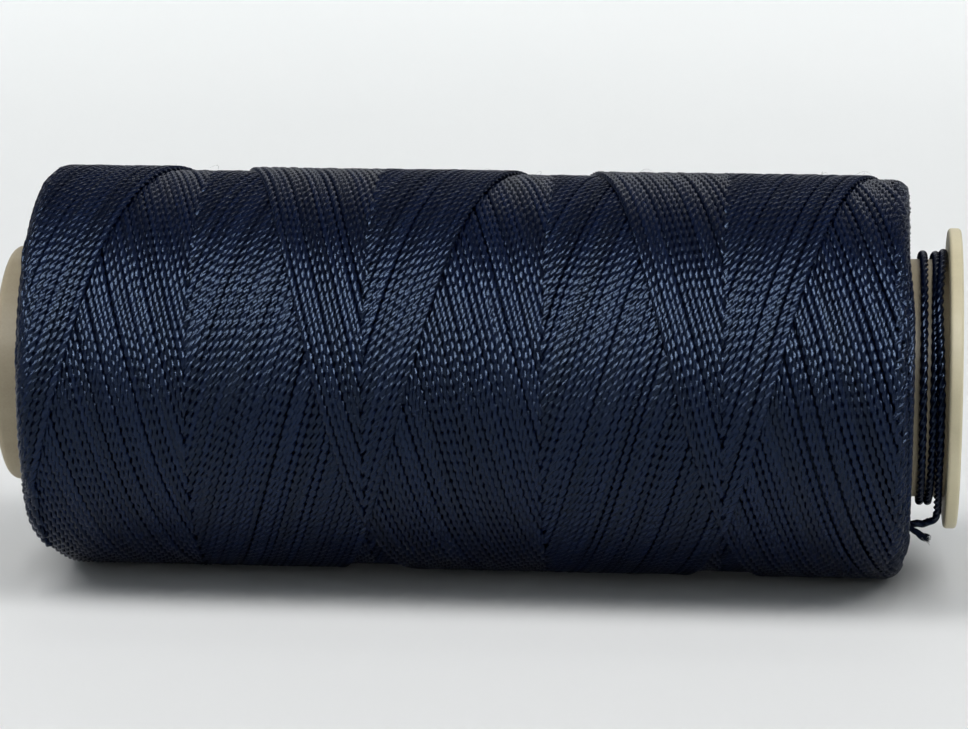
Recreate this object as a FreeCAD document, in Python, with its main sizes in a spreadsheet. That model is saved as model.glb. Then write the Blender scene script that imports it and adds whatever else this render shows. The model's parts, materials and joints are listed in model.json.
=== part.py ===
"""A spool of thread lying on its side.

A plastic tube carries a cross-wound package of three-ply thread, and a foot disc sits on one end of
the tube. The thread's tail goes round the tube's neck, beside the foot disc, hangs in a small loop
and tucks back into the package.

Millimetres. X runs along the spool from the tube's plain end to the foot disc and +Z is up. The
origin is under the middle of the spool, on the surface that it lies on.
"""
import FreeCAD, Part
import math
import os

import Sketcher

DIMENSIONS = {
    "package_radius": 25.2,
    "package_length": 108.0,
    "package_shoulder": 1.75,  # rounding of the package's outer edges
    "rest_half_width": 2.5,  # the thread is pressed flat this far each side of its lowest line
    "tube_radius": 14.8,
    "bore_radius": 13.3,
    "bore_chamfer": 0.3,
    "tube_end_length": 4.7,  # how far the tube's plain end stands out of the package
    "tube_end_rounding": 1.1,
    "neck_length": 4.7,  # tube between the package and the foot disc
    "foot_radius": 18.7,
    "foot_thickness": 1.6,
    "foot_rounding": 0.45,
    "seat_depth": 0.8,  # how much of the foot disc's thickness covers the tube's end
    "thread_diameter": 0.98,
    "frayed_diameter": 0.7,
    "turn_place_1": 1.75,  # each turn's distance from the package's end
    "turn_place_2": 3.12,
    "turn_place_3": 4.2,
}

# Distances along X, as expressions of the sheet's dimensions
SPOOL_LENGTH = "(sheet.tube_end_length + sheet.package_length + sheet.neck_length + sheet.foot_thickness)"
TUBE_START = f"(-{SPOOL_LENGTH} / 2)"
PACKAGE_START = f"({TUBE_START} + sheet.tube_end_length)"
PACKAGE_END = f"({PACKAGE_START} + sheet.package_length)"
FOOT_START = f"({PACKAGE_END} + sheet.neck_length)"
FOOT_END = f"({SPOOL_LENGTH} / 2)"
TUBE_END = f"({FOOT_END} - sheet.seat_depth)"
# The axis's height over the surface
AXIS_HEIGHT = "sqrt(sheet.package_radius^2 - sheet.rest_half_width^2)"

# Routes of the tail, from the package's end plane (x) and from the spool's axis (y, z)
LOOP_ROUTE = [
    (4.20, -6.88, -14.74),  # a thread's width clear of the third turn, which it has left
    (4.15, -5.75, -15.95),
    (3.55, -4.95, -17.05),
    (2.20, -4.60, -17.65),
    (0.00, -4.60, -17.65),  # square against the package's end
]
FRAYED_ROUTE = [
    (0.20, -5.45, -17.75),  # its edge touches the package's end
    (1.07, -5.45, -18.20),
    (2.00, -5.50, -18.95),
    (3.20, -5.55, -19.30),
]
ARC_SHARE = 0.45  # the part of the shorter run that an arc takes up
SAME_PLACE = 1e-4  # edges nearer than this to where they are looked for are the right ones
CHECK_SHARE = 0.01  # how near a swept tube's volume comes to its section times its length

doc = FreeCAD.newDocument("spool_of_thread")


def make_sheet():
    """The spreadsheet of driving dimensions."""
    sheet = doc.addObject("Spreadsheet::Sheet", "sheet")
    for row, (alias, size) in enumerate(DIMENSIONS.items(), start=1):
        sheet.set(f"A{row}", alias)
        sheet.set(f"B{row}", str(size))
        sheet.setAlias(f"B{row}", alias)
    doc.recompute()
    return sheet


def value(expression):
    """An expression of the sheet's dimensions as a number."""
    return float(dims.evalExpression(expression))


def origin_plane(body, role):
    """One of a body's own origin planes."""
    return next(f for f in body.Origin.OriginFeatures if f.Role == role)


def new_body(label):
    """An empty body whose own X axis is the spool's axis."""
    body = doc.addObject("PartDesign::Body", label)
    body.Label = label
    body.Placement = FreeCAD.Placement(FreeCAD.Vector(0, 0, value(AXIS_HEIGHT)), FreeCAD.Rotation())
    body.setExpression("Placement.Base.z", AXIS_HEIGHT)
    return body


def outline(body, name, role, corners):
    """A closed sketch of straight sides on one of the body's planes. Each corner is a pair of
    expressions, along the sketch's two axes."""
    sketch = body.newObject("Sketcher::SketchObject", name)
    sketch.AttachmentSupport = (origin_plane(body, role), "")
    sketch.MapMode = "FlatFace"
    points = [FreeCAD.Vector(value(across), value(up), 0) for across, up in corners]
    for start, end in zip(points, points[1:] + points[:1]):
        sketch.addGeometry(Part.LineSegment(start, end), False)
    for side, (across, up) in enumerate(corners):
        following = (side + 1) % len(corners)
        sketch.addConstraint(Sketcher.Constraint("Coincident", side, 2, following, 1))
        for kind, axis_expression in (("DistanceX", across), ("DistanceY", up)):
            size = value(axis_expression)
            index = sketch.addConstraint(Sketcher.Constraint(kind, -1, 1, side, 1, size))
            sketch.renameConstraint(index, f"{kind}_{side}")
            sketch.setExpression(f"Constraints.{kind}_{side}", axis_expression)
    doc.recompute()
    return sketch


def revolved(label, corners):
    """A body made by turning an outline of (x, radius) corners about the spool's axis."""
    body = new_body(label)
    sketch = outline(body, f"{label}_outline", "XZ_Plane", corners)
    turned = body.newObject("PartDesign::Revolution", f"{label}_turned")
    turned.Profile = sketch
    turned.ReferenceAxis = (sketch, ["H_Axis"])
    turned.Angle = 360
    doc.recompute()
    return body, turned


def circles_at(feature, along, radius):
    """The names of a feature's circular edges at a place along X and of a radius."""
    named = [(f"Edge{i}", edge.Curve) for i, edge in enumerate(feature.Shape.Edges, start=1)]
    return [
        name
        for name, curve in named
        if curve.TypeId == "Part::GeomCircle"
        and abs(curve.Center.x - value(along)) < SAME_PLACE
        and abs(curve.Radius - value(radius)) < SAME_PLACE
    ]


def dress(body, kind, name, feature, size, *rings):
    """Rounds or chamfers a feature's circular edges, each given as (x, radius)."""
    edges = [edge for along, radius in rings for edge in circles_at(feature, along, radius)]
    dressed = body.newObject(f"PartDesign::{kind}", name)
    dressed.Base = (feature, edges)
    dressed.setExpression("Radius" if kind == "Fillet" else "Size", size)
    doc.recompute()
    return dressed


def make_tube():
    """The barrel that the thread is wound on, open from end to end, with one rounded end."""
    body, turned = revolved(
        "tube_barrel",
        [
            (TUBE_START, "sheet.bore_radius"),
            (TUBE_END, "sheet.bore_radius"),
            (TUBE_END, "sheet.tube_radius"),
            (TUBE_START, "sheet.tube_radius"),
        ],
    )
    outer = (TUBE_START, "sheet.tube_radius")
    rounded = dress(body, "Fillet", "tube_rounded", turned, "sheet.tube_end_rounding", outer)
    mouth = (TUBE_START, "sheet.bore_radius")
    dress(body, "Chamfer", "tube_mouth", rounded, "sheet.bore_chamfer", mouth)
    return body


def make_foot():
    """The wide disc over the tube's other end, which the spool stands on."""
    body, turned = revolved(
        "foot_disc",
        [
            (TUBE_END, "sheet.bore_radius"),
            (FOOT_END, "sheet.bore_radius"),
            (FOOT_END, "sheet.foot_radius"),
            (FOOT_START, "sheet.foot_radius"),
            (FOOT_START, "sheet.tube_radius"),
            (TUBE_END, "sheet.tube_radius"),
        ],
    )
    rims = [(FOOT_END, "sheet.foot_radius"), (FOOT_START, "sheet.foot_radius")]
    rounded = dress(body, "Fillet", "foot_rounded", turned, "sheet.foot_rounding", *rims)
    mouth = (FOOT_END, "sheet.bore_radius")
    dress(body, "Chamfer", "foot_mouth", rounded, "sheet.bore_chamfer", mouth)
    return body


def make_package():
    """The wound thread as one solid, rounded at its shoulders and pressed flat underneath."""
    body, turned = revolved(
        "thread_package",
        [
            (PACKAGE_START, "sheet.tube_radius"),
            (PACKAGE_END, "sheet.tube_radius"),
            (PACKAGE_END, "sheet.package_radius"),
            (PACKAGE_START, "sheet.package_radius"),
        ],
    )
    rims = [(PACKAGE_START, "sheet.package_radius"), (PACKAGE_END, "sheet.package_radius")]
    rounded = dress(body, "Fillet", "package_shoulders", turned, "sheet.package_shoulder", *rims)
    round_volume = rounded.Shape.Volume
    below = "-sheet.package_radius - sheet.package_shoulder"
    corners = [
        ("-2 * sheet.rest_half_width", below),
        ("2 * sheet.rest_half_width", below),
        ("2 * sheet.rest_half_width", f"-{AXIS_HEIGHT}"),
        ("-2 * sheet.rest_half_width", f"-{AXIS_HEIGHT}"),
    ]
    sketch = outline(body, "rest_outline", "YZ_Plane", corners)
    rest = body.newObject("PartDesign::Pocket", "rest_flat")
    rest.Profile = sketch
    rest.Type = "ThroughAll"
    rest.Midplane = True
    doc.recompute()
    if rest.Shape.Volume >= round_volume:
        raise RuntimeError("the resting flat cuts nothing")
    return body


def make_neck_turn(number):
    """One turn of the tail round the neck: a ring of thread that lies on the tube."""
    ring = doc.addObject("Part::Torus", f"neck_turn_{number}")
    ring.Label = f"neck_turn_{number}"
    ring.setExpression("Radius1", "sheet.tube_radius + sheet.thread_diameter / 2")
    ring.setExpression("Radius2", "sheet.thread_diameter / 2")
    place = f"{PACKAGE_END} + sheet.turn_place_{number}"
    turn_to_x = FreeCAD.Rotation(FreeCAD.Vector(0, 1, 0), 90)
    centre = FreeCAD.Vector(value(place), 0, value(AXIS_HEIGHT))
    ring.Placement = FreeCAD.Placement(centre, turn_to_x)
    ring.setExpression("Placement.Base.x", place)
    ring.setExpression("Placement.Base.z", AXIS_HEIGHT)
    return ring


def route_wire(label, points):
    """Straight runs joined by tangent arcs, each as large as its two runs allow."""
    edges = []
    at = points[0]
    for before, corner, after in zip(points, points[1:], points[2:]):
        back, onward = before - corner, after - corner
        run = min(back.Length, onward.Length)
        half_turn = (math.pi - back.getAngle(onward)) / 2
        radius = ARC_SHARE * run / math.tan(half_turn)
        print(f"{label}: arc of radius {radius:.2f} mm, a turn of {math.degrees(2 * half_turn):.0f} degrees")
        to_back, to_onward = FreeCAD.Vector(back).normalize(), FreeCAD.Vector(onward).normalize()
        start, end = corner + to_back * (ARC_SHARE * run), corner + to_onward * (ARC_SHARE * run)
        inward = (to_back + to_onward).normalize()
        middle = corner + inward * (radius / math.cos(half_turn) - radius)
        edges.append(Part.LineSegment(at, start).toShape())
        edges.append(Part.Arc(start, middle, end).toShape())
        at = end
    edges.append(Part.LineSegment(at, points[-1]).toShape())
    return Part.Wire(edges)


def make_routed_tube(label, route, diameter):
    """A plain round tube along a route, placed at the package's end on the spool's axis."""
    points = [FreeCAD.Vector(*point) for point in route]
    wire = route_wire(label, points)
    radius = value(diameter) / 2
    section = Part.Wire(Part.makeCircle(radius, points[0], points[1] - points[0]))
    solid = wire.makePipeShell([section], True, False)
    expected = math.pi * radius**2 * wire.Length
    print(f"{label}: {wire.Length:.2f} mm long, volume {solid.Volume:.3f} against {expected:.3f} mm3")
    if abs(solid.Volume - expected) > CHECK_SHARE * expected:
        raise RuntimeError(f"{label} isn't a whole tube")
    tube = doc.addObject("Part::Feature", label)
    tube.Label = label
    tube.Shape = solid
    base = FreeCAD.Vector(value(PACKAGE_END), 0, value(AXIS_HEIGHT))
    tube.Placement = FreeCAD.Placement(base, FreeCAD.Rotation())
    return tube


def check_and_write(subparts):
    """Stops if anything failed to build, then writes each sub-part to its own file."""
    doc.recompute()
    failed = [o.Name for o in doc.Objects if {"Invalid", "Error"} & set(o.State)]
    if failed:
        raise RuntimeError(f"these objects failed: {failed}")
    for part in subparts:
        if part.Shape.isNull() or not part.Shape.isValid() or len(part.Shape.Solids) != 1:
            raise RuntimeError(f"{part.Label} isn't one valid solid")
    os.makedirs("parts", exist_ok=True)
    for part in subparts:
        part.Shape.exportStep(f"parts/{part.Label}.step")
        box = part.Shape.BoundBox
        print(
            f"{part.Label}: x {box.XMin:.2f} to {box.XMax:.2f}, y {box.YMin:.2f} to {box.YMax:.2f},"
            f" z {box.ZMin:.2f} to {box.ZMax:.2f}, {part.Shape.Volume:.1f} mm3"
        )


dims = make_sheet()
pieces = [make_tube(), make_foot(), make_package()]
pieces += [make_neck_turn(number) for number in (1, 2, 3)]
pieces.append(make_routed_tube("tail_loop", LOOP_ROUTE, "sheet.thread_diameter"))
pieces.append(make_routed_tube("tail_frayed_end", FRAYED_ROUTE, "sheet.frayed_diameter"))
check_and_write(pieces)
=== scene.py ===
"""Looks of a cross-wound spool of thick navy thread, built round its CAD frame.

Lengths inside the functions are in millimetres, with x from the package's left end plane and y and z from
the spool's axis. place() turns them into metres in the row's frame. The floor, the lights and the camera
are set in metres.
"""

import json
import math

import bpy
import numpy as np
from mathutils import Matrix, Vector


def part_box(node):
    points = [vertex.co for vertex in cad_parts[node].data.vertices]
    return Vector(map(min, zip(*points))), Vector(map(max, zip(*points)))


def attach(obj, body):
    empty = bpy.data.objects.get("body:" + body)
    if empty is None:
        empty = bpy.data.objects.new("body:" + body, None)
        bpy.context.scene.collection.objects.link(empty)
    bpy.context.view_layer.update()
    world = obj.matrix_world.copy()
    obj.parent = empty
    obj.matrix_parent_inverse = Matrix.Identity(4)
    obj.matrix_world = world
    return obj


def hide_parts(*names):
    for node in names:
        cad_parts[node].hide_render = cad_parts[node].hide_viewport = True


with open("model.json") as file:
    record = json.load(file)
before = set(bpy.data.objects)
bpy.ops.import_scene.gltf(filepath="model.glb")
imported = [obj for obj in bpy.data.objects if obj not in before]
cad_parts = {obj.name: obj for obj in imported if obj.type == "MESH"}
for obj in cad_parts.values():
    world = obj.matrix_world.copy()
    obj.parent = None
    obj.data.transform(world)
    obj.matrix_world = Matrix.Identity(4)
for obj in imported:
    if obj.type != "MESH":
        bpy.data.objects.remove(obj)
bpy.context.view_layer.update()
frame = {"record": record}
MM = 0.001

# ---------------------------------------------------------------- sizes read from the CAD nodes
package_low, package_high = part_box("thread_package")
tube_low, tube_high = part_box("tube_barrel")
foot_low, foot_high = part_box("foot_disc")
PACKAGE_RADIUS = (package_high.y - package_low.y) / 2 / MM
PACKAGE_LENGTH = (package_high.x - package_low.x) / MM
PACKAGE_START = package_low.x
AXIS_HEIGHT = package_high.z - PACKAGE_RADIUS * MM
TUBE_RADIUS = (tube_high.y - tube_low.y) / 2 / MM
TUBE_START = (tube_low.x - package_low.x) / MM
TUBE_END = (tube_high.x - package_low.x) / MM
FOOT_RADIUS = (foot_high.y - foot_low.y) / 2 / MM
FOOT_START = (foot_low.x - package_low.x) / MM
FOOT_END = (foot_high.x - package_low.x) / MM
BORE_RADIUS = frame["record"]["mounts"][0]["dims"]["r_mm"]

# ---------------------------------------------------------------- thread
PLIES = 3
PLY_LAY = 4.0  # the length of one full twist of the plies
LAY_SPREAD = (0.94, 1.07)  # how the lay differs from strand to strand, as a share
LOBES = (1.0, 0.86, 0.56, 0.86)  # a ply's share of the section: crest, slope, groove, slope
RING_SIDES = PLIES * len(LOBES)
ROUND = 2.0  # the squareness of a section that nothing presses
HIDDEN_SIDE = -0.62  # a face that points deeper than this (a cosine) is always hidden by its neighbours

# ---------------------------------------------------------------- winding of the package
STRANDS = 57  # strands side by side
PASSES = 10  # half turns of a strand from the left end to the right one and back
HALF_TURN = 180.0
STRAND_STEP = 360.0 / STRANDS
SEAM_GAP = PACKAGE_LENGTH / (PASSES // 2)
LEAD = SEAM_GAP / HALF_TURN  # how far along the package a strand goes in each degree
FRONT_ANGLE = -36.0  # turns the whole winding, to put its seams where they are in front
SEAM_SHIFT = 0.96  # how far the middle seams stand to the left of even places
CROWN = 0.35  # how far the newest strand's crest stands over the package's radius
LAYER = 0.5  # how much lower a strand lies for each whole turn of newer strands
SHOULDER = 1.75  # the least rounding between the package's side and its ends
HALF_WIDTH = 0.50  # half a strand's width in the package
HALF_HEIGHT = 0.41  # half its height
PRESSED = 4.4  # the squareness of a strand between its neighbours
LEAD_IN = 4.2  # degrees that a strand runs under its neighbours before it shows
TURNING_LEAD_IN = 17.0  # the same at the package's ends, where the strand turns back
LEAD_OUT = 4.6  # degrees that it runs on when it is covered
RISE = 0.62  # how deep it lies before it comes out
DIVE = 0.48  # how deep it lies when it is covered
OWN_DRIFT = 0.42  # how many degrees a strand is off its place by itself
BUNCH_DRIFT = 0.70  # and with its neighbours
TURN_ROUNDING = (7.0, 17.0)  # degrees over which a strand turns back
SWELL_REACH = 60.0  # degrees of winding over which the swelling of an end fades
RING_GAP = 0.31
PACKAGE_SEED = 41

# ---------------------------------------------------------------- end faces, core and loose fibres
FACE_LOOP_HALF = 0.40  # half the thickness of a turning strand
FACE_LOOP_STEP = 0.60  # how far apart the circles of turning strands are
FACE_LOOP_PRESSED = 2.5
FACE_RING_GAP = 0.5
CORE_SIDES = 180
FUZZ_FIBRES = 120

# ---------------------------------------------------------------- tail of the thread
TAIL_HALF = 0.53  # half the tail's thickness at the crests of its plies
TAIL_RING_GAP = 0.16
FRAYED_RING_GAP = 0.08
FRAYED_SEED = 7
PLY_FIBRES = 26
FIBRE_RADIUS = 0.042
# x is counted here from the package's right end plane
FROM_RIGHT_END = np.array([PACKAGE_LENGTH, 0.0, 0.0])
TURN_POINTS = 24  # control points in each turn round the neck
# angle round the neck (0 front, 90 top, counted down as the thread runs on), place along the neck, radius
NECK_WINDING = (
    (215, -0.70, 17.20),
    (190, -0.10, 16.90),
    (160, 0.85, 16.20),
    (125, 1.46, 15.50),
    (90, 1.70, 15.33),
    (0, 1.64, 15.33),
    (-60, 1.70, 15.33),
    (-90, 1.75, 15.33),
    (-180, 2.50, 15.33),
    (-270, 3.30, 15.33),
    (-310, 3.02, 15.33),
    (-394, 2.86, 15.33),
    (-430, 2.70, 15.33),
    (-540, 3.50, 15.33),
    (-630, 4.24, 15.62),
    (-654, 3.78, 16.10),
    (-672, 3.42, 16.23),
    (-691, 3.55, 16.14),
    (-710, 3.85, 15.70),
    (-765, 3.80, 15.62),
)
LOOP_ROUTE = (
    (3.90, -6.88, -14.90),
    (3.95, -5.75, -15.98),
    (3.50, -4.95, -17.05),
    (2.20, -4.60, -17.65),
    (0.00, -4.60, -17.65),
)
FRAYED_ROUTE = (
    (0.20, -5.45, -17.75),
    (1.07, -5.45, -18.20),
    (2.00, -5.50, -18.95),
    (3.20, -5.55, -19.30),
)

# ---------------------------------------------------------------- plastic
LATHE_SIDES = 192
OUT_OF_ROUND = 0.02
WOBBLE_SEED = 12
TUBE_COLOURS = ((0.330, 0.279, 0.191), (0.392, 0.335, 0.231), (0.442, 0.383, 0.272))
FOOT_COLOURS = ((0.575, 0.517, 0.350), (0.627, 0.566, 0.387), (0.673, 0.610, 0.425))

# ---------------------------------------------------------------- camera
CAMERA_LENS = 149.77
CAMERA_DISTANCE = 0.50667
CAMERA_YAW = math.radians(4.789)
CAMERA_ELEVATION = math.radians(12.0)
CAMERA_TARGET = Vector((0.0002, 0.0, 0.0258))


# ================================================================ helpers
def place(points):
    """Points in metres in the row's frame, from millimetres along and about the spool's axis."""
    moved = np.asarray(points, float) * MM
    return moved + np.array([PACKAGE_START, 0.0, AXIS_HEIGHT])


def smooth(x, low, high):
    """0 below low, 1 above high, and an even S between them."""
    t = np.clip((x - low) / (high - low), 0.0, 1.0)
    return t * t * (3 - 2 * t)


def unit(vectors):
    """The same directions, each with length 1."""
    return vectors / np.linalg.norm(vectors, axis=1, keepdims=True)


def line_frame(line, guide):
    """Two unit vectors across a line at each point: the first leans towards the guide."""
    along = unit(np.gradient(line, axis=0))
    up = unit(guide - along * np.sum(guide * along, axis=1, keepdims=True))
    return up, np.cross(along, up)


def round_axis(along, angle, radius):
    """Points at an angle (degrees, 0 front, 90 top) and radius round the spool's axis."""
    turn = np.radians(angle)
    return np.stack([along + 0 * turn, -radius * np.cos(turn), radius * np.sin(turn)], axis=1)


def length_along(points):
    """How far along the line each of its points is."""
    steps = np.linalg.norm(np.diff(points, axis=0), axis=1)
    return np.concatenate([[0.0], np.cumsum(steps)])


def even_points(points, gap):
    """The same line, with its points a set gap apart."""
    run = length_along(points)
    wanted = np.linspace(0.0, run[-1], max(4, int(run[-1] / gap) + 1))
    return np.stack([np.interp(wanted, run, points[:, i]) for i in range(3)], axis=1)


def strand_faces(rings, sides):
    """Four-sided faces of an open tube, as an array of ring by side by corner."""
    ring = np.arange(rings - 1)[:, None] * sides
    here = np.arange(sides)[None, :]
    after = (here + 1) % sides
    return np.stack([ring + here, ring + after, ring + sides + after, ring + sides + here], axis=2)


def shell_faces(rows, sides, closed):
    """Four-sided faces of a form turned about the axis. A closed one joins its last row to its first."""
    row = np.arange(rows if closed else rows - 1)[:, None]
    next_row = (row + 1) % rows * sides
    row = row * sides
    here = np.arange(sides)[None, :]
    after = (here + 1) % sides
    return np.stack([row + here, next_row + here, next_row + after, row + after], axis=2).reshape(-1, 4)


def spline_points(control, resolution):
    """Points of the smooth NURBS line that has these control points."""
    curve = bpy.data.curves.new("route", "CURVE")
    curve.dimensions = "3D"
    spline = curve.splines.new("NURBS")
    spline.points.add(len(control) - 1)
    for target, source in zip(spline.points, control):
        target.co = (*[float(c) for c in source], 1.0)
    spline.order_u = 3
    spline.use_endpoint_u = True
    spline.resolution_u = resolution
    route = bpy.data.objects.new("route", curve)
    bpy.context.scene.collection.objects.link(route)
    mesh = bpy.data.meshes.new_from_object(route)
    points = np.array([v.co[:] for v in mesh.vertices])
    bpy.data.meshes.remove(mesh)
    bpy.data.objects.remove(route)
    bpy.data.curves.remove(curve)
    return points


class Parts:
    """Collects vertices, faces and the thread's own coordinates for one mesh."""

    def __init__(self):
        self.points = []
        self.faces = []
        self.fibres = []
        self.tones = []
        self.count = 0

    def add(self, points, faces, fibres, tones):
        self.points.append(points)
        self.faces.append(faces + self.count)
        self.fibres.append(fibres)
        self.tones.append(tones)
        self.count += len(points)

    def build(self, name):
        """Makes the mesh object, without the points that no face uses."""
        points = np.concatenate(self.points)
        faces = np.concatenate(self.faces)
        used = np.zeros(len(points), bool)
        used[faces.ravel()] = True
        renumber = np.cumsum(used) - 1
        faces = renumber[faces]
        points = place(points[used])
        mesh = bpy.data.meshes.new(name)
        mesh.vertices.add(len(points))
        mesh.vertices.foreach_set("co", points.ravel().astype(np.float32))
        mesh.loops.add(faces.size)
        mesh.loops.foreach_set("vertex_index", faces.ravel().astype(np.int32))
        mesh.polygons.add(len(faces))
        mesh.polygons.foreach_set("loop_start", np.arange(0, faces.size, 4, dtype=np.int32))
        mesh.polygons.foreach_set("use_smooth", np.ones(len(faces), bool))
        fibre = mesh.attributes.new("fibre", "FLOAT_VECTOR", "POINT")
        fibre.data.foreach_set("vector", np.concatenate(self.fibres)[used].ravel().astype(np.float32))
        tone = mesh.attributes.new("tone", "FLOAT", "POINT")
        tone.data.foreach_set("value", np.concatenate(self.tones)[used].astype(np.float32))
        mesh.update(calc_edges=True)
        made = bpy.data.objects.new(name, mesh)
        bpy.context.scene.collection.objects.link(made)
        return made


def add_strand(parts, line, outward, wide, high, phase, tone, lay, squareness, hidden=None):
    """A three-ply strand along a line: a lobed section that turns right-handed, once in each lay.

    outward points away from what the strand lies on. Faces whose direction is deeper than hidden (the cosine
    of their angle from outward) are left out. A squareness of 2 is round, and more is a strand pressed flat
    between its neighbours.
    """
    count = len(line)
    up, side = line_frame(line, outward)
    run = length_along(line)
    steps = np.arange(RING_SIDES) * (2 * math.pi / RING_SIDES)
    lobes = np.array(LOBES * PLIES)
    turn = phase + 2 * math.pi * run[:, None] / lay + steps[None, :]
    pressed = (np.abs(np.cos(turn)) ** squareness + np.abs(np.sin(turn)) ** squareness) ** (-1 / squareness)
    lift = (high * lobes * pressed * np.cos(turn))[:, :, None] * up[:, None, :]
    spread = (wide * lobes * pressed * np.sin(turn))[:, :, None] * side[:, None, :]
    points = line[:, None, :] + lift + spread
    faces = strand_faces(count, RING_SIDES)
    if hidden is None:
        faces = faces.reshape(-1, 4)
    else:
        middle = turn[:-1] + math.pi / RING_SIDES
        faces = faces[np.cos(middle) > hidden]
    fibres = np.stack(
        [
            np.broadcast_to(run[:, None], turn.shape) + tone * 900,
            np.broadcast_to(lobes * np.cos(steps), turn.shape) * wide + tone * 370,
            np.broadcast_to(lobes * np.sin(steps), turn.shape) * wide,
        ],
        axis=2,
    )
    tones = np.full(count * RING_SIDES, tone)
    parts.add(points.reshape(-1, 3), faces, fibres.reshape(-1, 3), tones)


# ================================================================ the wound package
def end_swell(angle, end):
    """How far the package's end stands out of its plane, which differs a little round the axis."""
    turn = np.radians(angle)
    if end == 0:
        return 0.14 + 0.24 * np.sin(turn)
    return -0.12 + 0.64 * smooth(np.cos(turn + math.radians(8)), 0.48, 0.86)


def end_shoulder(angle, end):
    """The rounding between the package's side and its end, larger at the top and underneath."""
    height = np.sin(np.radians(angle))
    above = (0.75, 0.55)[end] * smooth(height, 0.6, 1.0)
    below = (3.10, 0.90)[end] * smooth(-height, 0.6, 1.0)
    return SHOULDER + above + below


def pass_place(phi, rounding, angle):
    """How far along the package a strand is, when it has run phi degrees since the left end.

    It goes out in half its passes and comes back in the other half, and each turning point is rounded.
    """
    there_and_back = PASSES * HALF_TURN
    phase = np.mod(phi, there_and_back)
    to_left = np.minimum(phase, there_and_back - phase)
    to_right = there_and_back / 2 - to_left
    nearest = np.minimum(to_left, to_right)
    eased = np.where(nearest < rounding, rounding / 2 + nearest**2 / (2 * rounding), nearest)
    swell = np.where(to_left < to_right, end_swell(angle, 0), end_swell(angle, 1))
    from_end = LEAD * eased - swell * (1 - smooth(nearest, 0.0, SWELL_REACH))
    along = np.where(to_left < to_right, from_end, PACKAGE_LENGTH - from_end)
    return along - SEAM_SHIFT * (1 - (2 * along / PACKAGE_LENGTH - 1) ** 4)


def add_pass(parts, random, strand, number, drift):
    """One stretch of a strand that shows, from the seam where it comes out to the edge it dives under.

    The strands are counted from the newest. Each pass starts at a seam, 180 degrees apart, and the older
    the strand is, the sooner the newest strand of the other lean covers it.
    """
    age = strand * STRAND_STEP
    start = HALF_TURN * number
    shown = HALF_TURN - age / 2
    turning = number % (PASSES // 2) == 0
    lead_in = TURNING_LEAD_IN if turning else LEAD_IN
    gap = math.degrees(RING_GAP / PACKAGE_RADIUS)
    phi = np.arange(start - lead_in, start + shown + LEAD_OUT, gap)
    own = random.normal(0, OWN_DRIFT) + drift[strand, number]
    rounding = random.uniform(*TURN_ROUNDING)
    angle = phi + age + own + FRONT_ANGLE
    slow_wave = 0.05 * np.sin(np.radians(phi * 3.1 + strand * 11))
    quick_wave = 0.03 * np.sin(np.radians(phi * 7.7 + strand * 47))
    along = pass_place(phi, rounding, angle) + (slow_wave + quick_wave)
    other_age = np.clip(2 * (phi - start) + age, 0.0, 360.0)
    crown = PACKAGE_RADIUS + CROWN - LAYER * (age + other_age) / 360
    rise = RISE * smooth(start - phi, -1.2, 3.0)
    dive = DIVE * smooth(phi - start - shown, -1.4, 2.2)
    bury = np.where(turning & (phi < start + 9), 0.0, rise + dive)
    surface = crown - bury + random.normal(0, 0.025)
    from_end = np.minimum(along, PACKAGE_LENGTH - along)
    shoulder = np.where(along < PACKAGE_LENGTH / 2, end_shoulder(angle, 0), end_shoulder(angle, 1))
    inside = shoulder - HALF_HEIGHT
    tilt = np.clip((shoulder - from_end) / inside, 0.0, 0.97)
    level = np.sqrt(1 - tilt**2)
    radius = surface - shoulder + inside * level
    line = round_axis(along, angle, radius)
    ends = np.where(along < PACKAGE_LENGTH / 2, -1.0, 1.0)
    outward = round_axis(tilt * ends, angle, level)
    floor_line = HALF_HEIGHT * 1.15 - AXIS_HEIGHT / MM
    line[:, 2] = np.maximum(line[:, 2], floor_line)
    add_strand(
        parts,
        line,
        outward,
        HALF_WIDTH * random.uniform(0.96, 1.08),
        HALF_HEIGHT * random.uniform(0.95, 1.05),
        phase=random.uniform(0, 2 * math.pi),
        tone=random.uniform(0, 1),
        lay=PLY_LAY * random.uniform(*LAY_SPREAD),
        squareness=PRESSED,
        hidden=HIDDEN_SIDE,
    )


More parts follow.
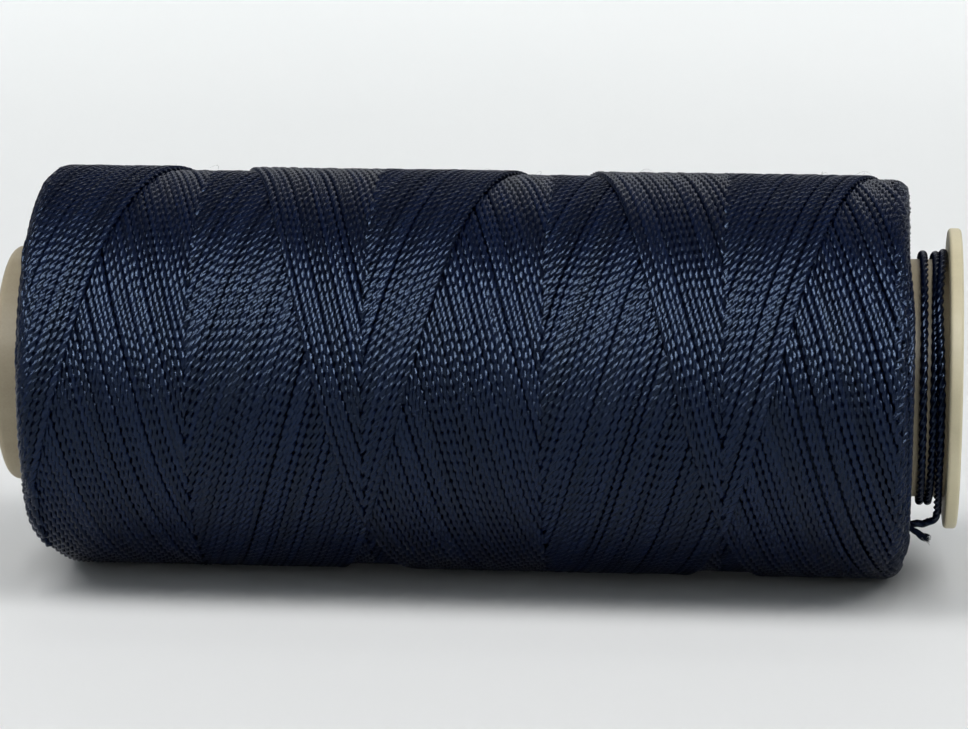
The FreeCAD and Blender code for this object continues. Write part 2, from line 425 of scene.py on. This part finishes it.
def add_face_loops(parts, random, end):
    """The turning strands that show on one end face of the package, as long overlapping arcs."""
    side = -1.0 if end == 0 else 1.0
    inner = TUBE_RADIUS + FACE_LOOP_HALF
    outer = PACKAGE_RADIUS - SHOULDER + 0.35
    radius = TUBE_RADIUS + 0.42
    while radius < outer:
        angle = random.uniform(0, 360)
        stop = angle + 360.0
        while angle < stop:
            sweep = random.uniform(75, 130)
            step = math.degrees(FACE_RING_GAP / radius)
            turn = np.arange(0.0, sweep, step)
            part = turn / sweep
            slope = random.uniform(0.25, 0.75)
            ring = radius + slope * (part - 0.5) + random.normal(0, 0.06)
            ring = np.maximum(ring, inner)
            depth = 0.46 + random.uniform(0.0, 0.16) + 1.15 * np.abs(2 * part - 1) ** 5
            depth = depth - end_swell(angle + turn, end) * smooth(ring, TUBE_RADIUS, TUBE_RADIUS + 5)
            inside = end_shoulder(angle + turn, end) - HALF_HEIGHT
            past = np.clip((ring - PACKAGE_RADIUS + inside + HALF_HEIGHT) / inside, 0.0, 0.95)
            depth = depth + inside * (1 - np.sqrt(1 - past**2))
            along = depth if end == 0 else PACKAGE_LENGTH - depth
            line = round_axis(along, angle + turn, ring)
            outward = np.broadcast_to(np.array([side, 0.0, 0.0]), line.shape)
            add_strand(
                parts,
                line,
                outward,
                FACE_LOOP_HALF,
                FACE_LOOP_HALF,
                phase=random.uniform(0, 2 * math.pi),
                tone=random.uniform(0, 1),
                lay=PLY_LAY * random.uniform(*LAY_SPREAD),
                squareness=FACE_LOOP_PRESSED,
                hidden=HIDDEN_SIDE,
            )
            angle += sweep * random.uniform(0.5, 0.72)
        radius += FACE_LOOP_STEP


def add_core(parts):
    """The older layers, a form just beneath the strands that show, open at the tube."""
    depth = 2 * LAYER - CROWN + 0.62
    profile = (
        (1.30, TUBE_RADIUS + 0.02),
        (1.30, PACKAGE_RADIUS - SHOULDER - 1.8),
        (2.8, PACKAGE_RADIUS - depth - 0.7),
        (4.8, PACKAGE_RADIUS - depth),
    )
    rows = [(x, r) for x, r in profile] + [(PACKAGE_LENGTH - x, r) for x, r in reversed(profile)]
    angles = np.arange(CORE_SIDES) * 360.0 / CORE_SIDES
    points = np.concatenate([round_axis(np.full(CORE_SIDES, x), angles, r) for x, r in rows])
    floor_line = 0.05 - AXIS_HEIGHT / MM
    points[:, 2] = np.maximum(points[:, 2], floor_line)
    parts.add(points, shell_faces(len(rows), CORE_SIDES, closed=False), points, np.zeros(len(points)))


def add_fuzz(parts, random):
    """A few fine loose fibres that lift off the package's surface and lie back."""
    for _ in range(FUZZ_FIBRES):
        start = random.uniform(3, PACKAGE_LENGTH - 3)
        angle = random.uniform(-65, 245)
        length = random.uniform(1.2, 3.4)
        heading = random.uniform(0, 2 * math.pi)
        curl = random.uniform(-1.2, 1.2)
        lift = random.uniform(0.45, 0.85)
        part = np.linspace(0, 1, 9)
        along = start + length * part * np.cos(heading + curl * part)
        round_by = length * part * np.sin(heading + curl * part)
        radius = PACKAGE_RADIUS - 0.35 + lift * np.sin(math.pi * 0.9 * part)
        line = round_axis(along, angle + np.degrees(round_by / PACKAGE_RADIUS), radius)
        add_filament(parts, line, random.uniform(0.010, 0.017), random.uniform(0.6, 1))


def make_package():
    """Every strand of the winding that shows, with the end faces, a few loose fibres and the core."""
    random = np.random.default_rng(PACKAGE_SEED)
    parts = Parts()
    bunch = random.normal(0, 1.0, (STRANDS + 4, PASSES))
    drift = BUNCH_DRIFT * (bunch[:-4] + bunch[1:-3] - bunch[2:-2] - bunch[3:-1]) / 2
    for strand in range(STRANDS):
        for number in range(PASSES):
            add_pass(parts, random, strand, number, drift)
    for end in (0, 1):
        add_face_loops(parts, random, end)
    add_fuzz(parts, random)
    add_core(parts)
    return parts.build("wound_thread")


# ================================================================ the tail round the neck
def tail_line():
    """The tail's smooth centreline: off the package, three times round the neck, and the hanging loop."""
    marks = np.array(NECK_WINDING, float)
    step = 360.0 / TURN_POINTS
    angles = np.arange(marks[0, 0], marks[-1, 0] - 0.01, -step)
    places = np.interp(-angles, -marks[:, 0], marks[:, 1])
    radii = np.interp(-angles, -marks[:, 0], marks[:, 2]) / math.cos(math.radians(step / 2))
    winding = round_axis(places, angles, radii)
    control = np.concatenate([winding, np.array(LOOP_ROUTE)]) + FROM_RIGHT_END
    return even_points(spline_points(control, 12), TAIL_RING_GAP)


def away_from_axis(line):
    """Directions square to the spool's axis and away from it."""
    outward = line.copy()
    outward[:, 0] = 0.0
    return unit(outward)


def make_tail(line):
    """The free end of the thread, with nothing that presses its plies flat."""
    parts = Parts()
    outward = away_from_axis(line)
    add_strand(parts, line, outward, TAIL_HALF, TAIL_HALF, phase=0.4, tone=0.5, lay=PLY_LAY, squareness=ROUND)
    return parts.build("thread_tail")


def add_filament(parts, line, radius, tone):
    """A fine plain fibre with four sides, thinner towards its tip."""
    sides = 4
    count = len(line)
    up, side = line_frame(line, np.array([0.3, 0.2, 0.9]))
    taper = radius * (1 - 0.6 * np.linspace(0, 1, count) ** 2)
    turn = np.arange(sides) * 2 * math.pi / sides
    offset = np.cos(turn)[None, :, None] * up[:, None, :] + np.sin(turn)[None, :, None] * side[:, None, :]
    points = line[:, None, :] + offset * taper[:, None, None]
    run = np.repeat(length_along(line), sides)
    fibres = np.stack([run, run * 0 + tone * 50, run * 0], axis=1)
    faces = strand_faces(count, sides).reshape(-1, 4)
    parts.add(points.reshape(-1, 3), faces, fibres, np.full(count * sides, tone))


def make_frayed_end():
    """The cut end: three plies that come apart, and each ply's fibres splayed at its tip."""
    random = np.random.default_rng(FRAYED_SEED)
    parts = Parts()
    line = even_points(spline_points(np.array(FRAYED_ROUTE) + FROM_RIGHT_END, 24), FRAYED_RING_GAP)
    run = length_along(line)
    part = run / run[-1]
    up, side = line_frame(line, np.array([0.0, -1.0, 0.0]))
    for ply in range(PLIES):
        turn = 2 * math.pi * (ply / PLIES + run / PLY_LAY)
        apart = 0.21 + 0.12 * part**1.5
        centre = line + (apart * np.cos(turn))[:, None] * up + (apart * np.sin(turn))[:, None] * side
        for _ in range(PLY_FIBRES):
            spread = 0.17 * math.sqrt(random.uniform(0.05, 1))
            where = random.uniform(0, 2 * math.pi)
            lean = spread * (1 + random.uniform(0.2, 1.6) * part**3)
            swing = where + 1.6 * run
            bend = random.normal(0, 0.16, 3) * (part**4)[:, None]
            offset = (lean * np.cos(swing))[:, None] * up + (lean * np.sin(swing))[:, None] * side
            last = int(len(line) * random.uniform(0.86, 1.0))
            add_filament(parts, (centre + offset + bend)[:last], FIBRE_RADIUS, random.uniform(0.3, 1))
    return parts.build("frayed_end")


# ================================================================ plastic tube and foot disc
def lathe(name, profile):
    """A closed ring with this profile of (place along, radius) points, very slightly out of round."""
    random = np.random.default_rng(WOBBLE_SEED)
    angles = np.arange(LATHE_SIDES) * 360.0 / LATHE_SIDES
    waves = [(k, random.normal(0, OUT_OF_ROUND / k), random.uniform(0, 360)) for k in (2, 3, 5, 8)]
    wobble = sum(size * np.cos(np.radians(k * angles + shift)) for k, size, shift in waves)
    points = np.concatenate([round_axis(np.full(LATHE_SIDES, x), angles, r + wobble) for x, r in profile])
    parts = Parts()
    parts.add(points, shell_faces(len(profile), LATHE_SIDES, closed=True), points, np.zeros(len(points)))
    return parts.build(name)


def rounded(corner, start, end, radius, count=7):
    """Points of a quarter round at a corner, from the start direction to the end direction (degrees)."""
    turns = [math.radians(start + (end - start) * i / (count - 1)) for i in range(count)]
    return [(corner[0] + radius * math.cos(t), corner[1] + radius * math.sin(t)) for t in turns]


def subdivided(profile, longest):
    """The profile with points added on its long runs."""
    out = []
    for i, (x, r) in enumerate(profile):
        nx, nr = profile[(i + 1) % len(profile)]
        count = max(1, int(math.hypot(nx - x, nr - r) / longest))
        out += [(x + (nx - x) * k / count, r + (nr - r) * k / count) for k in range(count)]
    return out


def make_tube():
    """The barrel: a rounded lip at the left end, a straight wall and a bore open from end to end."""
    lip = 1.05
    mouth = 0.35
    profile = rounded((TUBE_START + lip, TUBE_RADIUS - lip), 180, 90, lip)
    profile += [(TUBE_END, TUBE_RADIUS)]
    profile += [(TUBE_END, BORE_RADIUS)]
    profile += rounded((TUBE_START + mouth, BORE_RADIUS + mouth), 270, 180, mouth, 4)
    return lathe("plastic_tube", subdivided(profile, 2.5))


def make_foot():
    """The foot disc: a thin flange with rounded rims, its hole in line with the bore."""
    edge = 0.42
    hole = 0.3
    profile = rounded((FOOT_START + edge, FOOT_RADIUS - edge), 180, 90, edge)
    profile += rounded((FOOT_END - edge, FOOT_RADIUS - edge), 90, 0, edge)
    # two points on the flat outer face, which keep its shading flat
    profile += [(FOOT_END, FOOT_RADIUS - 1.5)]
    profile += [(FOOT_END, BORE_RADIUS + 1.2)]
    profile += rounded((FOOT_END - hole, BORE_RADIUS + hole), 0, -90, hole, 4)
    profile += [(FOOT_START, BORE_RADIUS)]
    return lathe("plastic_foot", subdivided(profile, 1.2))


# ================================================================ materials
class Nodes:
    """A short way to add shader nodes to one material and join them."""

    def __init__(self, name):
        self.material = bpy.data.materials.new(name)
        self.material.use_nodes = True
        self.tree = self.material.node_tree
        self.shader = self.tree.nodes["Principled BSDF"]

    def add(self, kind, **settings):
        node = self.tree.nodes.new(kind)
        for key, value in settings.items():
            setattr(node, key, value)
        return node

    def join(self, source, target):
        self.tree.links.new(source, target)

    def noise(self, vector, scale, detail=2.0, roughness=0.5):
        node = self.add("ShaderNodeTexNoise")
        node.inputs["Scale"].default_value = scale
        node.inputs["Detail"].default_value = detail
        node.inputs["Roughness"].default_value = roughness
        self.join(vector, node.inputs["Vector"])
        return node.outputs["Fac"]

    def ramp(self, value, stops):
        node = self.add("ShaderNodeValToRGB")
        elements = node.color_ramp.elements
        while len(elements) < len(stops):
            elements.new(0.5)
        for element, (position, colour) in zip(elements, stops):
            element.position = position
            element.color = (*colour, 1.0)
        self.join(value, node.inputs["Fac"])
        return node.outputs["Color"]

    def math(self, operation, first, second):
        node = self.add("ShaderNodeMath", operation=operation)
        for socket, value in zip(node.inputs, (first, second)):
            if isinstance(value, (int, float)):
                socket.default_value = value
            else:
                self.join(value, socket)
        return node.outputs["Value"]

    def stretch(self, vector, scale):
        node = self.add("ShaderNodeMapping")
        node.inputs["Scale"].default_value = scale
        self.join(vector, node.inputs["Vector"])
        return node.outputs["Vector"]

    def bump(self, height, strength, distance):
        node = self.add("ShaderNodeBump")
        node.inputs["Strength"].default_value = strength
        node.inputs["Distance"].default_value = distance
        self.join(height, node.inputs["Height"])
        self.join(node.outputs["Normal"], self.shader.inputs["Normal"])


def thread_material():
    """Silky navy fibres that run along the plies, each strand a little lighter or darker."""
    n = Nodes("navy_thread")
    fibre = n.add("ShaderNodeAttribute", attribute_name="fibre").outputs["Vector"]
    tone = n.add("ShaderNodeAttribute", attribute_name="tone").outputs["Fac"]
    streaks = n.noise(n.stretch(fibre, (0.35, 9.0, 9.0)), 1.6, 3.0, 0.6)
    patches = n.noise(n.stretch(fibre, (0.16, 1.0, 1.0)), 0.5, 2.0, 0.5)
    mixed = n.math("ADD", n.math("MULTIPLY", streaks, 0.55), n.math("MULTIPLY", tone, 0.25))
    shade = n.math("ADD", mixed, n.math("MULTIPLY", patches, 0.25))
    stops = (
        (0.28, (0.0004, 0.0011, 0.0060)),
        (0.50, (0.0013, 0.0033, 0.0150)),
        (0.76, (0.0032, 0.0075, 0.0290)),
    )
    n.join(n.ramp(shade, stops), n.shader.inputs["Base Color"])
    rough = n.math("ADD", n.math("MULTIPLY", streaks, 0.16), 0.12)
    n.join(rough, n.shader.inputs["Roughness"])
    n.shader.inputs["Specular IOR Level"].default_value = 0.30
    n.shader.inputs["Specular Tint"].default_value = (0.47, 0.66, 1.0, 1.0)
    n.bump(streaks, 0.5, 0.00005)
    # an export with nothing baked takes this as the thread's colour
    n.material.diffuse_color = (0.012, 0.018, 0.04, 1.0)
    return n.material


def plastic_material(name, colours, roughness):
    """Satin moulded plastic: faint flow marks, fine grain and small scuffs."""
    n = Nodes(name)
    dark, middle, light = colours
    where = n.add("ShaderNodeTexCoord").outputs["Object"]
    flow = n.noise(n.stretch(where, (60.0, 160.0, 160.0)), 1.0, 3.0, 0.55)
    grain = n.noise(where, 3800.0, 2.0, 0.6)
    scuffs = n.noise(n.stretch(where, (2400.0, 500.0, 500.0)), 1.0, 4.0, 0.7)
    shade = n.math("ADD", n.math("MULTIPLY", flow, 0.75), n.math("MULTIPLY", grain, 0.25))
    n.join(n.ramp(shade, ((0.3, dark), (0.5, middle), (0.72, light))), n.shader.inputs["Base Color"])
    wear = n.math("MULTIPLY", scuffs, 0.25)
    n.join(n.math("ADD", wear, roughness), n.shader.inputs["Roughness"])
    n.shader.inputs["Specular IOR Level"].default_value = 0.25
    height = n.math("ADD", n.math("MULTIPLY", grain, 0.4), n.math("MULTIPLY", scuffs, 0.6))
    n.bump(height, 0.25, 0.00008)
    return n.material


def floor_material():
    """Matt pale grey with a very faint cloud."""
    n = Nodes("pale_floor")
    where = n.add("ShaderNodeTexCoord").outputs["Object"]
    cloud = n.noise(where, 3.0, 3.0, 0.5)
    stops = (
        (0.3, (0.80, 0.815, 0.82)),
        (0.7, (0.83, 0.84, 0.845)),
    )
    n.join(n.ramp(cloud, stops), n.shader.inputs["Base Color"])
    n.shader.inputs["Roughness"].default_value = 0.6
    n.shader.inputs["Specular IOR Level"].default_value = 0.2
    return n.material


def dress(piece, material):
    """Gives a piece one material."""
    piece.data.materials.clear()
    piece.data.materials.append(material)


# ================================================================ stage
def make_floor():
    """A pale floor that curves up into a wall all round, like a studio cove."""
    sides = 96
    flat = 1.2
    bend = 0.8
    bend_steps = 8
    wall_top = 1.5
    rings = [(r, 0.0) for r in (0.1, 0.3, 0.7, flat)]
    for i in range(1, bend_steps + 1):
        turn = math.radians(90 * i / bend_steps)
        rings.append((flat + bend * math.sin(turn), bend - bend * math.cos(turn)))
    rings.append((flat + bend, wall_top))
    turns = [2 * math.pi * k / sides for k in range(sides)]
    points = [(r * math.cos(turn), r * math.sin(turn), z) for r, z in rings for turn in turns]
    centre = len(points)
    points.append((0.0, 0.0, 0.0))
    faces = [(centre, k, (k + 1) % sides) for k in range(sides)]
    for i in range(len(rings) - 1):
        low = i * sides
        for k in range(sides):
            nxt = (k + 1) % sides
            faces.append((low + k, low + sides + k, low + sides + nxt, low + nxt))
    mesh = bpy.data.meshes.new("floor")
    mesh.from_pydata(points, [], faces)
    mesh.polygons.foreach_set("use_smooth", np.ones(len(faces), bool))
    floor = bpy.data.objects.new("floor", mesh)
    bpy.context.scene.collection.objects.link(floor)
    dress(floor, floor_material())


def add_light(name, place_at, aim, size, power, colour=(1.0, 0.99, 0.98)):
    """A soft rectangular light that looks from one place to another."""
    light = bpy.data.lights.new(name, "AREA")
    light.shape = "RECTANGLE"
    light.size, light.size_y = size
    light.energy = power
    light.color = colour
    made = bpy.data.objects.new(name, light)
    bpy.context.scene.collection.objects.link(made)
    made.location = place_at
    made.rotation_euler = (Vector(aim) - Vector(place_at)).to_track_quat("-Z", "Y").to_euler()
    return made


def make_lights():
    """Side lights that light without gloss, front and back lights that make only the gloss, and four
    lights of limited spread round the object that look down at the backdrop."""
    world = bpy.data.worlds.new("studio")
    bpy.context.scene.world = world
    world.use_nodes = True
    world.node_tree.nodes["Background"].inputs["Color"].default_value = (0.92, 0.96, 1.0, 1.0)
    world.node_tree.nodes["Background"].inputs["Strength"].default_value = 0.15
    middle = (0.0, 0.0, 0.02)
    for name, side in (("left", -1), ("right", 1)):
        soft = add_light(f"soft_{name}", (0.46 * side, -0.15, 0.88), middle, (0.40, 0.84), 4.7)
        soft.visible_glossy = False
        front = add_light(f"front_{name}", (0.48 * side, -0.62, 0.69), middle, (0.30, 0.24), 7.0)
        front.visible_diffuse = False
    centre = add_light("front", (0.03, -0.69, 0.71), middle, (0.40, 0.20), 8.0)
    centre.visible_diffuse = False
    back = add_light("back", (0.0, 0.85, 0.51), middle, (0.9, 0.38), 0.7)
    back.visible_diffuse = False
    for turn in range(4):
        out = Vector((math.sin(turn * math.pi / 2), math.cos(turn * math.pi / 2), 0.0))
        reach, power = (0.84, 4.3) if turn == 0 else (1.0, 4.6)
        place_at = out * reach + Vector((0.0, 0.0, 1.1))
        aim = out * (reach + 0.02)
        wash = add_light(f"wash_{turn}", place_at, aim, (2.0, 0.7), power, (0.98, 1.0, 0.99))
        wash.data.spread = math.radians(72)


def make_camera():
    """A long lens that looks a little down and a little to the left."""
    forward = Vector(
        (
            -math.sin(CAMERA_YAW) * math.cos(CAMERA_ELEVATION),
            math.cos(CAMERA_YAW) * math.cos(CAMERA_ELEVATION),
            -math.sin(CAMERA_ELEVATION),
        )
    )
    camera = bpy.data.objects.new("camera", bpy.data.cameras.new("camera"))
    camera.data.lens = CAMERA_LENS
    camera.data.sensor_width = 36.0
    camera.location = CAMERA_TARGET - forward * CAMERA_DISTANCE
    camera.rotation_euler = forward.to_track_quat("-Z", "Y").to_euler()
    bpy.context.scene.collection.objects.link(camera)
    bpy.context.scene.camera = camera


# ================================================================ put together
bpy.context.scene.view_settings.view_transform = "Standard"
make_camera()
make_lights()
make_floor()

thread = thread_material()
package = make_package()
tail_path = tail_line()
tail = make_tail(tail_path)
frayed_end = make_frayed_end()
for piece in (package, tail, frayed_end):
    dress(piece, thread)

tube = make_tube()
dress(tube, plastic_material("tube_plastic", TUBE_COLOURS, roughness=0.38))
foot = make_foot()
dress(foot, plastic_material("foot_plastic", FOOT_COLOURS, roughness=0.36))

for piece in (package, tail, frayed_end, tube, foot):
    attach(piece, "root")
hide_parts("thread_package")
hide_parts("neck_turn_1", "neck_turn_2", "neck_turn_3", "tail_loop")
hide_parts("tail_frayed_end")
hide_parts("tube_barrel")
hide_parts("foot_disc")
